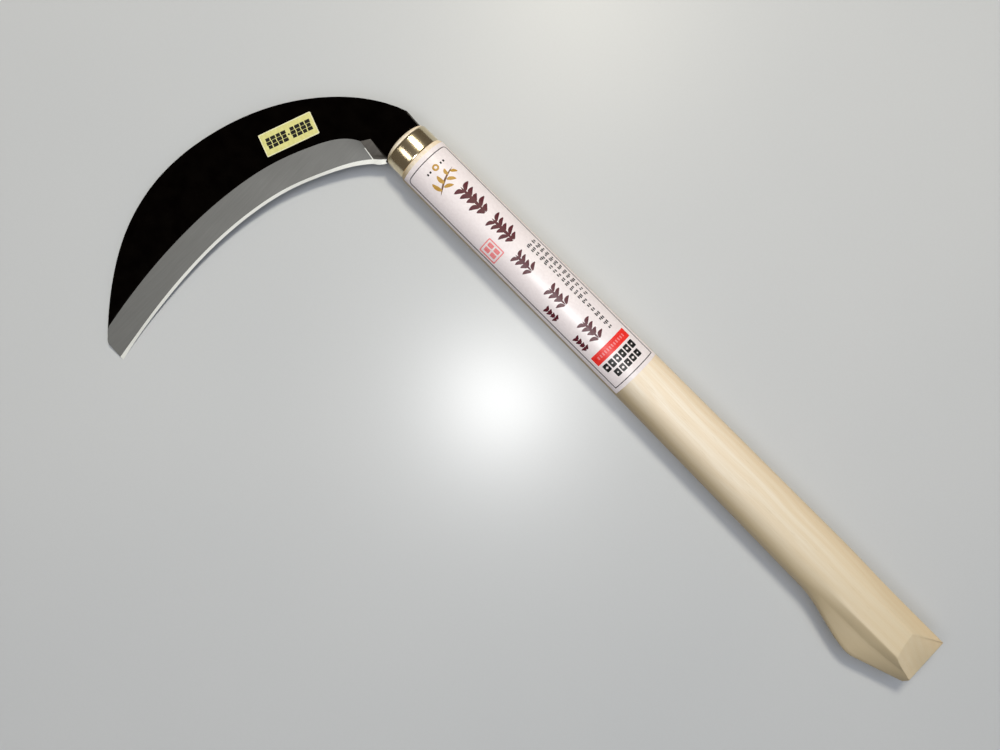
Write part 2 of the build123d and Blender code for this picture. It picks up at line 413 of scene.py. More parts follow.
def wood_material():
    """Pale, close-grained wood, planed and sanded, without any finish."""
    paint = Paint("pale_wood", Roughness=0.6, Specular_IOR_Level=0.35)
    # the grain wavers a little along the handle
    shift = paint.spread(paint.noise((9, 25, 25), detail=2.0), 0, 1, -0.004, 0.004)
    push = paint.node("CombineXYZ", Y=shift, Z=shift).outputs[0]
    wavered = paint.pair("VectorMath", "ADD", paint.place, push)
    # growth rings about a pith that lies beside the handle
    pith = paint.scaled((0.25, 1, 1), shift=(0, 0.052, 0.07), source=wavered)
    rings = paint.node("TexWave", Vector=pith, Scale=105, Distortion=1.5, Detail=2.0, Detail_Scale=2.0)
    rings.wave_type = "RINGS"
    rings.rings_direction = "X"
    broad = paint.noise((5, 90, 90), detail=2.0, source=wavered)
    fibres = paint.noise((26, 1500, 1500), roughness=0.6, source=wavered)
    pores = paint.noise((150, 2600, 2600), detail=1.0)
    paint.ramp(rings.outputs["Fac"], (0.15, "FFF4E4"), (0.95, "FAEAD4"))
    paint.tint("F2DFC2", broad, 0.35, 0.7, 0.0, 0.4)
    paint.tint("E8D2AE", fibres, 0.35, 0.75, 0.0, 0.45)
    paint.tint("C2A97E", pores, 0.66, 0.80, 0.0, 0.35)
    # cut across the fibres, the wood is darker; the +Y side, turned away from the key lamp, is darkened
    # with painted shade
    facing = paint.node("SeparateXYZ", Vector=paint.node("NewGeometry").outputs["Normal"]).outputs
    paint.tint("D6BC90", facing["X"], -0.7, -0.3, 0.8, 0.0)
    paint.tint("AC9874", facing["Y"], 0.2, 0.7, 0.0, 0.85)
    # the wood gets a little darker towards the butt
    place = paint.node("SeparateXYZ", Vector=paint.place).outputs
    paint.tint("D4C09A", place["X"], -0.085, 0.08, 0.75, 0.0)
    paint.tint("E2C294", place["Y"], -0.013, -0.004, 0.4, 0.0)
    # painted shade makes the heel's facets on the point's side darker still
    shaded_side = paint.spread(facing["Y"], 0.2, 0.7, 0.0, 1.0)
    behind = paint.spread(place["X"], -0.06, -0.03, 0.25, 0.0)
    paint.tint("94866C", paint.pair("Math", "MULTIPLY", shaded_side, behind))
    return paint.finish(broad, 0.52, 0.66, fibres, 0.00006, 0.5)


def lacquer_material():
    """Black lacquer, glossy, with the faint swell of a dipped coat and a little dust in it."""
    paint = Paint("black_lacquer", Roughness=0.10, Specular_IOR_Level=0.06)
    swell = paint.noise((160, 160, 160), detail=2.0)
    dust = paint.noise((2200, 2200, 2200), detail=1.0)
    paint.ramp(swell, (0.3, "010000"), (0.75, "050302"))
    paint.tint("242220", dust, 0.74, 0.80, 0.0, 0.3)
    return paint.finish(swell, 0.08, 0.13, swell, 0.00003, 0.25)


def ground_material(name, light, dark, metallic, low, high, across, depth):
    """Steel with grinding marks. They run along X, Y or at a slant, as the scale says."""
    paint = Paint(name, Metallic=metallic, Specular_IOR_Level=0.3)
    marks = paint.noise(across, roughness=0.65)
    cloud = paint.noise((60, 60, 60))
    paint.ramp(marks, (0.3, dark), (0.7, light))
    paint.tint(dark, cloud, 0.35, 0.75, 0.0, 0.35)
    return paint.finish(cloud, low, high, marks, depth, 0.4)


def plated_material():
    """Thin bright plating over brass, drawn lengthwise and lightly handled."""
    paint = Paint("brass_plating", Metallic=1.0)
    drawn = paint.noise((40, 900, 900), roughness=0.6)
    cloud = paint.noise((120, 120, 120))
    paint.ramp(cloud, (0.3, "E8DCC2"), (0.75, "DACBA8"))
    return paint.finish(cloud, 0.14, 0.18, drawn, 0.000003, 0.3)


def paper_material(name, colour, shadow):
    """Smooth coated paper."""
    paint = Paint(name, Roughness=0.45, Specular_IOR_Level=0.4)
    fibres = paint.noise((700, 900, 900), detail=4.0, roughness=0.6)
    cloud = paint.noise((45, 45, 45), detail=2.0)
    paint.ramp(fibres, (0.3, shadow), (0.65, colour))
    paint.tint(shadow, cloud, 0.4, 0.8, 0.0, 0.4)
    return paint.finish(cloud, 0.4, 0.5, fibres, 0.00002, 0.3)


def ink_material(name, colour, thin):
    """Printing ink, a little uneven in its cover."""
    paint = Paint(name, Roughness=0.42, Specular_IOR_Level=0.2)
    cover = paint.noise((1100, 1100, 1100), roughness=0.6)
    paint.ramp(cover, (0.35, colour), (0.8, thin))
    return paint.finish(cover, 0.38, 0.5)


# ---- blade outlines

NECK_X = FERRULE_FRONT_X + 0.05
NECK_BACK = (NECK_X, -11.2)
NECK_CORNER = (265.7, -11.8)
SPINE = (
    NECK_CORNER, (281.8, -3.7), (297.7, 9.9), (315.9, 35.2), (327.0, 64.1),
    (330.9, 94.6), (325.5, 124.5), (311.7, 150.8), (294.4, 172.2),
)
POINT_ROUND = (293.3, 173.5)
POINT_CORNER = (291.6, 174.6)
POINT = (281.6, TIP_Y)
HEEL = (255.6, 12.9)
HEEL_ROUND = (257.5, 15.7)
NECK_FRONT = (NECK_X, HEEL[1] - 0.6)
EDGE = (
    (260.2, 17.8), (265.9, 24.9), (273.2, 37.8), (281.2, 57.0), (285.9, 77.0),
    (288.2, 98.0), (288.4, 118.0), (287.1, 139.0), (284.9, 158.0), POINT,
)
LAP = (
    (258.6, 9.0), (279.0, 14.0), (297.0, 38.0), (306.0, 70.0),
    (308.5, 103.0), (303.5, 137.0), (289.0, 178.0),
)
STRIP = (
    (261.6, 16.2), (267.4, 23.8), (274.5, 37.3), (282.5, 56.6), (287.2, 76.8),
    (289.5, 97.9), (289.7, 118.1), (288.4, 139.2), (286.1, 158.3), (283.2, 178.0),
)
BEVEL_TOP = (
    (271.7, 14.6), (277.9, 19.0), (286.9, 33.0), (294.5, 51.4), (299.8, 74.0),
    (302.2, 97.0), (302.5, 118.0), (301.3, 139.0), (299.0, 158.0), (295.6, 178.0),
)
HEEL_STRIP_ROUND = (259.0, 14.0)
HEEL_TOP = (256.6, 11.0)
RUN_OUT_FOOT = (257.3, 11.9)
RUN_OUT_CORNER = (268.9, 10.3)
HEEL_STRIP = mix(HEEL, LAP[0], STRIP_WIDTH / dist(HEEL, LAP[0]))

# How the spine's upper and lower edges are rounded: inset and height.
SPINE_TOP_ROUND = ((0.0, 2.72), (0.12, 2.88), (0.34, 2.97), (0.7, BLADE_THICKNESS))
SPINE_UNDER_ROUND = ((0.35, 0.0), (0.0, 0.35))

BLADE_ROWS = 150
BEYOND = 6.0                # how far a cutting shape reaches past the blade
OVER = 0.6                  # and how far above and below it
SLOPE_STEPS = 10            # steps from the top of the bevel down to the strip


def cut_at_tip(curve):
    """The part of a curve before the straight cut at the blade's point."""
    corner, point = np.array(POINT_CORNER), np.array(POINT)
    along = point - corner
    beyond = (curve - corner) @ np.array((-along[1], along[0]))
    last = int(np.argmax(np.sign(beyond) != np.sign(beyond[0])))
    part = beyond[last - 1] / (beyond[last - 1] - beyond[last])
    crossing = curve[last - 1] + (curve[last] - curve[last - 1]) * part
    return np.vstack((curve[:last], crossing))


def blade_place(corner):
    """From the blade's own plane, which is flat on its back, to the frame."""
    u, v, w = corner
    lift = w - BLADE_THICKNESS / 2
    across, up = sin(BLADE_TILT), cos(BLADE_TILT)
    return (u, v * up + lift * across, lift * up - v * across)


def blade_line(points):
    """A line of the blade in plan, cut off at the point."""
    return resampled(cut_at_tip(spline(points)), BLADE_ROWS)


EDGE_LINE = resampled(spline(EDGE), BLADE_ROWS)


# the blade's finishes; faces are lacquered unless something else is said
LACQUER, GROUND, RUN_OUT, BRIGHT = range(4)


def blade_prism(materials):
    """The blade's outline at its full thickness, with the spine's edges rounded."""
    shell = Shell()
    neck = np.linspace(NECK_BACK, NECK_CORNER, 8)[:-1]
    tip = arc(SPINE[-1], POINT_ROUND, POINT_CORNER, 8)[1:]
    spine = np.vstack((neck, resampled(spline(SPINE), BLADE_ROWS), tip))
    heel = arc(EDGE[0], HEEL_ROUND, HEEL, 9)[1:]
    rest = np.vstack((EDGE_LINE[::-1], heel, NECK_FRONT))
    # the spine's ends slide along the neck's end and the cut at the point
    inward = leftward(spine)
    tip_way = np.array(POINT) - np.array(POINT_CORNER)
    inward[0], inward[-1] = (0, 1), tip_way / np.linalg.norm(tip_way)
    rows = []
    for distance, height in SPINE_UNDER_ROUND + SPINE_TOP_ROUND:
        rows.append(raised(np.vstack((spine + inward * distance, rest)), height))
    for lower, upper in zip(rows, rows[1:]):
        shell.strip(lower[::-1], upper[::-1], closed=True)
    shell.fill(rows[-1])
    shell.fill(rows[0][::-1])
    return shell.mesh("blade_black", materials, move=blade_place)


def bevel_cutter(materials):
    """What the grinding takes off: the space over the bevel, out past the edge."""
    shell = Shell()
    low, top = STEEL_THICKNESS, BLADE_THICKNESS
    strip, bevel = spline(STRIP, BLADE_ROWS), spline(BEVEL_TOP, BLADE_ROWS)
    out = strip + leftward(strip) * BEYOND
    # a narrow first step beside the run-out, for the wire of bright metal there; its lower half takes the
    # honed strip's near-white colour, a painted highlight along the crease
    lines = (np.insert(curve, 1, curve[:2].mean(axis=0), axis=0) for curve in (strip, bevel, out))
    strip, bevel, out = lines
    strip = np.vstack((HEEL_STRIP, RUN_OUT_FOOT, strip))
    bevel = np.vstack((HEEL_TOP, RUN_OUT_CORNER, bevel))
    out = np.vstack(((255.2, 13.6), (254.1, 14.3), out))
    above = strip + (bevel - strip) * (top + OVER - low) / (top - low)
    rows = []
    for step in range(SLOPE_STEPS + 1):
        share = step / SLOPE_STEPS
        height = top + OVER + (low - top - OVER) * share
        rows.append(raised(above + (strip - above) * share, height))
        if step:
            upper, lower = rows[-2:]
            shell.strip(upper[:3], lower[:3], RUN_OUT)
            shell.strip(upper[2:4], lower[2:4], BRIGHT if share > 0.5 else GROUND)
            shell.strip(upper[3:], lower[3:], GROUND)
    rows += [raised(strip, -OVER), raised(out, -OVER), raised(out, top + OVER)]
    for row, following in zip(rows[SLOPE_STEPS:], rows[SLOPE_STEPS + 1:] + rows[:1]):
        shell.strip(row, following)
    shell.face([row[0] for row in rows])
    shell.face([row[-1] for row in rows][::-1])
    return outward(shell.mesh("bevel_cutter", materials, move=blade_place))


def seat_cutter(materials):
    """The place of the hard steel, under the blade from the lap outward."""
    shell = Shell()
    lap = spline(LAP, BLADE_ROWS)
    heel_out = mix(LAP[0], HEEL, 1.1)
    corners = ((POINT[0] - BEYOND, LAP[-1][1]), (HEEL[0] - BEYOND, HEEL[1] + BEYOND), heel_out)
    outline = np.vstack((lap, corners))
    lower, upper = raised(outline, -OVER), raised(outline, STEEL_THICKNESS)
    shell.strip(lower[::-1], upper[::-1], closed=True)
    shell.fill(upper)
    shell.fill(lower[::-1])
    return outward(shell.mesh("seat_cutter", materials, move=blade_place))


HONED_SHEEN, BACK = range(2)


def steel_mesh(materials):
    """The hard steel on the flat back, whose edge shows above as the honed strip."""
    shell = Shell()
    heel = arc(HEEL, HEEL_ROUND, EDGE[0], 9)
    heel_upper = np.vstack((
        np.linspace(HEEL_STRIP, HEEL_STRIP_ROUND, 5), np.linspace(HEEL_STRIP_ROUND, STRIP[0], 5)[1:],
    ))
    outer = raised(np.vstack((heel, EDGE_LINE[1:])), 0)
    inner = raised(np.vstack((heel_upper, blade_line(STRIP)[1:])), STEEL_THICKNESS)
    lap = blade_line(LAP)
    lap_under, lap_over = raised(lap, 0), raised(lap, STEEL_THICKNESS)
    # the honed strip: paler honed steel, whose near-white colour is partly a painted reflection
    shell.strip(outer[::-1], inner[::-1], HONED_SHEEN)
    shell.strip(lap_under, lap_over, BACK)
    shell.fill(outer + lap_under[::-1], BACK)
    shell.fill(inner[::-1] + lap_over, BACK)
    shell.face((outer[0], lap_under[0], lap_over[0], inner[0]), BACK)
    shell.face((outer[-1], inner[-1], lap_over[-1], lap_under[-1]), BACK)
    return shell.mesh("blade_edge_steel", materials, smooth_below=12, move=blade_place)


def tang_mesh(materials, grow=0.0):
    """The tongue behind the neck, or the slot for it if it is grown."""
    shell = Shell()
    low = (BLADE_THICKNESS - TANG_THICKNESS) / 2 - grow
    high = (BLADE_THICKNESS + TANG_THICKNESS) / 2 + grow
    front, rear = TANG_WIDTH_FRONT / 2 + grow, TANG_WIDTH_REAR / 2 + grow
    start, end = TANG_REAR_X - grow, TANG_FRONT_X + 2
    shell.slab(((start, -rear), (end, -front), (end, front), (start, rear)), low, high)
    return shell.mesh("tang", materials, move=blade_place)


# ---- handle sections

OVAL_ANGLES = (18, 35, 60, 112, 162)
CREASE_ANGLES = OVAL_ANGLES + tuple(360 - angle for angle in reversed(OVAL_ANGLES))
FACET_CROWN = 0.12
TOP_FACET = HANDLE_HEIGHT / 2 - FACET_CROWN
TOP_CREASES = (8.5, -5.0)
SIDE_CREASE_HEIGHT = 6.5
SIDE_CREASE_SHARE = 0.33
FRONT_EDGE_HEIGHT = 0.9
BACK_EDGE_HEIGHT = 3.4
CREASE_ROUND = 0.3          # how far from a crease its rounding starts
STEP_ANGLE = 3.0            # spacing of the points round a section, in degrees

# Where the -Y and +Y sides are: at places along the grip, at the heel, at the butt.
GRIP = ((SHOULDER_X, -13.5, 13.5), (LABEL_END_X, -13.9, 14.2), (FLARE_X, -14.2, 16.2))
HEEL_SIDES = (-13.1, 23.3)
BUTT_SIDES = (-13.1, 14.0)
BUTT_CUT_Y = 1.75           # where across the handle the cut's start is measured
BUTT_SKEW = 0.21            # the cut starts a little further forward on the -Y side


def oval_point(angle, back, front, height):
    """Point on the handle's oval, measured round from its +Y side, in degrees."""
    middle = (front + back) / 2
    half = (front - back) / 2
    return (middle + half * cos(radians(angle)), height / 2 * sin(radians(angle)))


def facet_corners(back, front):
    """The ten creases of the faceted part, from the +Y side round."""
    upper = [
        (front, FRONT_EDGE_HEIGHT),
        (TOP_CREASES[0] + (front - TOP_CREASES[0]) * SIDE_CREASE_SHARE, SIDE_CREASE_HEIGHT),
        (TOP_CREASES[0], TOP_FACET),
        (TOP_CREASES[1], TOP_FACET),
        (back, BACK_EDGE_HEIGHT),
    ]
    return upper + [(y, -z) for y, z in reversed(upper)]


def places_round():
    """The points of every section: the facet's two corners, how far along it, and the angle."""
    corners = facet_corners(*HEEL_SIDES)
    places = []
    for index, angle in enumerate(CREASE_ANGLES):
        following = (index + 1) % len(CREASE_ANGLES)
        turn = (CREASE_ANGLES[following] - angle) % 360
        margin = CREASE_ROUND / dist(corners[index], corners[following])
        count = max(4, round(turn / STEP_ANGLE)) + 1
        shares = np.linspace(margin, 1 - margin, count)
        places += [(index, following, share, angle + turn * share) for share in shares]
    return places


PLACES_ROUND = places_round()


def oval_ring(x, back, front, height=HANDLE_HEIGHT):
    return [(x, *oval_point(angle, back, front, height)) for *_, angle in PLACES_ROUND]


def faceted_ring(x, back, front):
    corners = facet_corners(back, front)
    points = []
    for index, following, share, _ in PLACES_ROUND:
        chord = mix(corners[index], corners[following], share)
        reach = 1 + FACET_CROWN * 4 * share * (1 - share) / hypot(*chord)
        points.append((x, chord[0] * reach, chord[1] * reach))
    return points


def flare_ring(along):
    """A ring between the grip and the heel, where the side runs out in an S."""
    swell = along * along * (3 - 2 * along)
    x = FLARE_X + (HEEL_X - FLARE_X) * along
    pairs = zip(oval_ring(x, *GRIP[-1][1:]), faceted_ring(x, *HEEL_SIDES))
    return [mix(round_place, flat_place, swell) for round_place, flat_place in pairs]


def steps_between(first, second, steps):
    """Evenly spaced values from the first towards the second, without the second."""
    return [mix(first, second, step / steps) for step in range(steps)]


def butt_cut(side):
    """The plane that slopes the butt's end, over it (1) or under it (-1)."""
    slope = (HANDLE_HEIGHT - BUTT_FACE_HEIGHT) / 2 / BUTT_CHAMFER
    start = Vector((BUTT_X + BUTT_CHAMFER, BUTT_CUT_Y, side * HANDLE_HEIGHT / 2)) * MM
    return start, Vector((-slope, -slope * BUTT_SKEW, side)).normalized()


SHOULDER_SWELL = 0.1
HEEL_ROUND_SHARE = 0.04     # how far past the heel's corner the flat run to the butt starts
NOSE_ANGLES = (76, 66, 56, 46, 37, 28, 20, 12, 5, 0)


def nose_rings(first_angle, grow=0.0):
    """Rings from the front of the domed nose back to the rear of the spigot."""
    rings = []
    for angle in (first_angle, *NOSE_ANGLES):
        shrink = cos(radians(angle)) / 2
        half_width, height = SPIGOT_WIDTH * shrink + grow, SPIGOT_HEIGHT * shrink * 2 + 2 * grow
        x = FERRULE_FRONT_X + (NOSE_DOME + grow) * sin(radians(angle))
        rings.append(oval_ring(x, -half_width, half_width, height))
    half_width, height = SPIGOT_WIDTH / 2 + grow, SPIGOT_HEIGHT + 2 * grow
    rings.append(oval_ring(FERRULE_REAR_X, -half_width, half_width, height))
    return rings


def dome_mesh(materials):
    """The handle's nose and spigot, a hair larger, to shape the blade's shoulders to it."""
    shell = Shell()
    shell.tube(nose_rings(88, grow=NOSE_GAP))
    return outward(shell.mesh("dome", materials))


def handle_mesh(materials):
    """The wooden handle with its domed nose, before the slot and the pin's hole are cut."""
    shell = Shell()
    rings = nose_rings(86)
    collar = (FERRULE_REAR_X, -FERRULE_WIDTH / 2, FERRULE_WIDTH / 2, FERRULE_HEIGHT)
    rings.append(oval_ring(*collar))
    # the shoulder swells a little on its way out to the full width
    swell = SHOULDER_SWELL
    x, back, front, height = mix(collar, (*GRIP[0], HANDLE_HEIGHT), 0.6)
    rings.append(oval_ring(x, back - swell, front + swell, height + 2 * swell))
    grip = steps_between(GRIP[0], GRIP[1], 30) + steps_between(GRIP[1], GRIP[2], 26)
    rings += [oval_ring(*station) for station in grip]
    rings += [flare_ring(along) for along in np.linspace(0, 1, 25)[:-1]]
    heel, butt = (HEEL_X, *HEEL_SIDES), (BUTT_X, *BUTT_SIDES)
    heel_end = mix(heel, butt, HEEL_ROUND_SHARE)
    rings += [faceted_ring(*station) for station in steps_between(heel_end, butt, 12) + [butt]]
    shell.tube(rings)
    data = shell.mesh("handle_wood", materials)
    with editing(data) as work:
        bmesh.ops.recalc_face_normals(work, faces=work.faces)
        for side in (1, -1):
            place, away = butt_cut(side)
            whole = work.verts[:] + work.edges[:] + work.faces[:]
            bmesh.ops.bisect_plane(work, geom=whole, plane_co=place, plane_no=away,
                                   clear_outer=True, dist=1e-7)
            rim = [edge for edge in work.edges if edge.is_boundary]
            bmesh.ops.contextual_create(work, geom=rim)
        bmesh.ops.recalc_face_normals(work, faces=work.faces)
        # the edges of the butt's large flat faces are rounded a little
        large = [face for face in work.faces if len(face.verts) > 20 and face.calc_center_median().x < 0]
        edges = {edge for face in large for edge in face.edges}
        bmesh.ops.bevel(work, geom=list(edges), offset=0.35 * MM, segments=2, profile=0.5,
                        affect="EDGES", clamp_overlap=False)
    data.polygons.foreach_set("use_smooth", [True] * len(data.polygons))
    return data


def rod_mesh(materials):
    """A plain round cutter for the pin's hole, up and down through the handle."""
    shell = Shell()
    angles = np.linspace(0, 2 * pi, 48, endpoint=False)
    circle = [(PIN_X + PIN_HOLE_RADIUS * cos(angle), PIN_HOLE_RADIUS * sin(angle)) for angle in angles]
    shell.slab(circle, -PIN_CUTTER_LENGTH / 2, PIN_CUTTER_LENGTH / 2)
    return shell.mesh("pin_hole", materials)


# ---- ferrule

# How each rim is rolled in: how far along, and how far out from the tube's inside.
ROLLED_RIM = ((0.0, 0.06), (0.0, 0.22), (0.12, 0.36), (0.34, 0.48), (0.65, 0.56), (1.05, FERRULE_WALL))


def ferrule_mesh(materials):
    shell = Shell()
    profile = list(ROLLED_RIM)
    profile += [(FERRULE_LENGTH - along, out) for along, out in reversed(ROLLED_RIM)]
    profile += [(FERRULE_LENGTH - 0.1, 0.0), (0.1, 0.0)]
    angles = np.linspace(0, 2 * pi, 144, endpoint=False)
    rings = []
    for along, out in profile:
        half_width, half_height = SPIGOT_WIDTH / 2 + out, SPIGOT_HEIGHT / 2 + out
        x = FERRULE_REAR_X + along
        rings.append([(x, half_width * cos(angle), half_height * sin(angle)) for angle in angles])
    for ring, following in zip(rings, rings[1:] + rings[:1]):
        shell.strip(ring, following, closed=True)
    return shell.mesh("ferrule_band", materials, smooth_below=50)


# ---- printed shapes
# A print is a list of (ink, outline). Where outlines overlap, the later one shows.

PAPER_INK, BORDER, MAROON, DARK, GOLD, BROWN, PINK, RED = range(8)


def block(x_low, x_high, y_low, y_high):
    return [(x_low, y_low), (x_high, y_low), (x_high, y_high), (x_low, y_high)]


def quarter(x, y, radius, start):
    """Points along a quarter of a circle, from the start angle in degrees."""
    angles = [radians(angle) for angle in range(start, start + 91, 30)]
    return [(x + radius * cos(angle), y + radius * sin(angle)) for angle in angles]


def rounded(x_low, x_high, y_low, y_high, radius):
    """A rectangle with rounded corners."""
    left, right, low, high = x_low + radius, x_high - radius, y_low + radius, y_high - radius
    upper = quarter(right, high, radius, 0) + quarter(left, high, radius, 90)
    return upper + quarter(left, low, radius, 180) + quarter(right, low, radius, 270)


def plate(x_low, x_high, y_low, y_high, radius):
    """A rectangle with rounded corners at its +X end only."""
    x = x_high - radius
    end = quarter(x, y_low + radius, radius, -90) + quarter(x, y_high - radius, radius, 0)
    return [(x_low, y_high), (x_low, y_low)] + end


def disc(x, y, radius, count=20):
    turn = 2 * pi / count
    return [(x + radius * cos(turn * step), y + radius * sin(turn * step)) for step in range(count)]


def leaf(start, end, width, bow=0.0, steps=8):
    """A brushed stroke, pointed at both ends, that bows to its left."""
    start, end = np.array(start, float), np.array(end, float)
    along = end - start
    left = np.array((-along[1], along[0])) / np.linalg.norm(along)
    one_side, other_side = [], []
    for step in range(steps + 1):
        t = step / steps
        middle = start + along * t + left * bow * sin(pi * t)
        half = width / 2 * sin(pi * t) ** 0.6 * (1.15 - 0.3 * t)
        one_side.append(middle + left * half)
        other_side.append(middle - left * half)
    return [tuple(point) for point in one_side + other_side[-2:0:-1]]


def ear(x_start, x_end, y_middle, width, pairs):
    """A maroon ear of grass: pairs of strokes that open towards its start, and a stem."""
    shapes = []
    step = (x_end - x_start) / pairs
    for index in range(pairs):
        root = x_start + step * (index + 0.95)
        far = x_start + step * (index + 0.1)
        reach = width / 2 * (0.8 + 0.2 * sin(2.4 * index + 0.6))
        thick = abs(step) * 0.66
        for side in (1, -1):
            foot, tip = (root, y_middle + side * 0.35), (far, y_middle + side * reach)
            shapes.append((MAROON, leaf(foot, tip, thick, bow=-side * thick * 0.35)))
    shapes.append((MAROON, leaf((x_start, y_middle + 0.1), (x_end, y_middle), width * 0.16)))
    return shapes


def text_line(x_start, x_end, y_low, y_high, count, seed):
    """Small dark dashes that stand for a line of small print, two or three side by side."""
    chance = np.random.default_rng(seed)
    shapes = []
    step = (x_end - x_start) / count
    tall = y_high - y_low
    for index in range(count):
        low = x_start + step * (index + 0.14)
        wide = step * 0.72
        rows = (0.0, 0.36, 0.72) if chance.uniform() < 0.6 else (0.16, 0.58)
        for row in rows:
            y = y_low + tall * row
            short, late = chance.uniform(0, 0.3, 2)
            dash = block(low + wide * late, low + wide * (1 - short), y, y + tall * 0.25)
            shapes.append((DARK, dash))
    return shapes


def label_print():
    """Generic ornaments and bars, laid out as the wrapper's print is."""
    shapes = [
        (BORDER, plate(98.4, 240.2, -12.15, 12.15, 1.6)),
        (PAPER_INK, plate(98.85, 239.72, -11.8, 11.8, 1.2)),
    ]
    # a small ring between two pairs of ticks
    shapes += [(GOLD, disc(234.4, -1.1, 1.7)), (PAPER_INK, disc(234.4, -1.1, 0.75))]
    for offset in (-5.0, -3.4, 3.4, 5.0):
        y = offset - 1.1
        shapes.append((DARK, rounded(233.9, 235.0, y - 0.45, y + 0.45, 0.2)))
    # a sprig of grass in gold and brown
    shapes.append((BROWN, leaf((223.2, 6.4), (229.4, -7.2), 1.0, bow=0.9)))
    sprig = (
        ((224.2, 4.4), (230.2, 5.6), 1.9), ((225.0, 2.8), (222.4, -1.6), 1.8),
        ((226.0, 1.2), (231.2, 1.4), 2.0), ((226.9, -0.8), (223.8, -4.6), 1.8),
        ((227.9, -2.8), (231.4, -3.6), 1.7), ((228.6, -4.8), (226.2, -7.6), 1.5),
    )
    for start, end, width in sprig:
        shapes.append((GOLD, leaf(start, end, width, bow=0.3)))
    # large and small ears of grass along the middle
    for start, end in ((219.6, 202.2), (198.4, 183.4)):
        shapes += ear(start, end, -3.0, 10.4, 5)
    for start, end in ((178.0, 166.6), (155.5, 143.8), (133.0, 121.2)):
        shapes += ear(start, end, 1.3, 8.6, 4)
    # a seal: a square frame with four blocks
    shapes += [
        (PINK, rounded(182.4, 192.6, 4.2, 11.3, 0.6)),
        (PAPER_INK, rounded(183.0, 192.0, 4.8, 10.7, 0.4)),
    ]
    for x in (183.9, 187.9):
        for y in (5.5, 8.0):
            shapes.append((PINK, rounded(x, x + 3.2, y, y + 1.9, 0.3)))
    # two rows of dashes in the place of small print
    shapes += text_line(178.0, 120.4, -7.7, -5.3, 20, seed=3)
    shapes += text_line(178.0, 140.0, -10.8, -8.5, 13, seed=5)
    for start, end in ((150.0, 141.6), (130.0, 121.4)):
        shapes += ear(start, end, 8.9, 3.8, 4)
    # a red band with a pale dashed line, and two rows of bold blocks with pale lozenges
    shapes.append((RED, rounded(112.0, 117.3, -10.2, 10.6, 0.2)))
    for y in np.linspace(-8.2, 7.6, 12):
        shapes.append((PINK, rounded(113.9, 115.5, y, y + 0.7, 0.15)))
    for low, high, first, count in ((106.6, 110.7, -9.3, 6), (101.8, 105.5, -8.2, 5)):
        for index in range(count):
            y, size = first + index * 3.25, 0.75 if index % 2 else 0.5
            lozenge = disc((low + high) / 2, y + 1.325, size, 4)
            shapes += [(DARK, rounded(low, high, y, y + 2.65, 0.4)), (PAPER_INK, lozenge)]
    return shapes


STICKER_RIM = 0.45
FIELD, STICKER_INK = 1, 2


def sticker_print():
    """A cream rim, a yellow field and three rows of dark blocks in two groups."""
    length, width = STICKER_LENGTH / 2 - STICKER_RIM, STICKER_WIDTH / 2 - STICKER_RIM
    shapes = [(FIELD, block(-length, length, -width, width))]
    for group in (-12.2, 0.9):
        for index in range(4):
            x = group + index * 2.8
            for row in range(3):
                y = -2.8 + row * 1.9
                shrink = 0.25 * ((index + row) % 2)
                shapes.append((STICKER_INK, block(x + shrink, x + 2.6 - shrink, y, y + 1.72)))
    shapes.append((STICKER_INK, disc(-0.1, 0.0, 0.5, 12)))
    return shapes


def anticlockwise(outline):
    pairs = zip(outline, outline[1:] + outline[:1])
    doubled_area = sum(first[0] * second[1] - second[0] * first[1] for first, second in pairs)
    return outline if doubled_area > 0 else outline[::-1]


def printed_mesh(name, sheet, shapes, guides, materials, surface, facing):
    """A thin closed sheet whose upper faces take the print's inks.

    surface turns a place in the sheet's own plan and 1 or 0, for the top or the
    underside, into a corner, and facing gives the top's direction there."""
    flat, faces, edges = [], [], []
    shapes = [(0, sheet)] + shapes
    for _, outline in shapes:
        outline = anticlockwise(outline)
        faces.append(list(range(len(flat), len(flat) + len(outline))))
        flat += [Vector(point) for point in outline]
    for first, second in guides:
        edges.append((len(flat), len(flat) + 1))
        flat += [Vector(first), Vector(second)]
    points, _, triangles, _, _, owners = delaunay_2d_cdt(flat, edges, faces, 1, 1e-4)
    kept = [(list(ids), max(owner)) for ids, owner in zip(triangles, owners) if owner]
    count = len(points)
    corners = [surface(point, upper) for upper in (1, 0) for point in points]
    polygons, kinds, normals = [], [], []
    sides = {}                  # the triangles' edges, in a settled order
    for ids, owner in kept:
        under = ids[::-1]
        polygons += [ids, [one + count for one in under]]
        kinds += [shapes[owner][0], 0]
        normals += [facing(points[one]) for one in ids]
        normals += [tuple(-value for value in facing(points[one])) for one in under]
        sides.update(dict.fromkeys(zip(ids, ids[1:] + ids[:1])))
    for first, second in sides:
        if (second, first) not in sides:
            polygons.append([first, first + count, second + count, second])
            kinds.append(0)
            ahead = Vector(corners[second]) - Vector(corners[first])
            normals += [tuple(ahead.cross(Vector(facing(points[first]))).normalized())] * 4
    data = new_mesh(name, corners, polygons, materials, kinds)
    data.normals_split_custom_set(normals)
    return data


LABEL_SPREAD = 14.0         # about how far one radian of the label reaches


def label_section(x):
    along = (SHOULDER_X - x) / (SHOULDER_X - LABEL_END_X)
    return mix(GRIP[0][1:3], GRIP[1][1:3], along)


def unrolled(point):
    """From a place seen straight from above to the label laid flat."""
    back, front = label_section(point[0])
    middle, half = (front + back) / 2, (front - back) / 2
    return (point[0], LABEL_SPREAD * (pi / 2 - acos((point[1] - middle) / half)))


def label_surface(point, upper):
    back, front = label_section(point[0])
    angle = degrees(pi / 2 - point[1] / LABEL_SPREAD)
    grow = PAPER * upper
    return (point[0], *oval_point(angle, back - grow, front + grow, HANDLE_HEIGHT + 2 * grow))


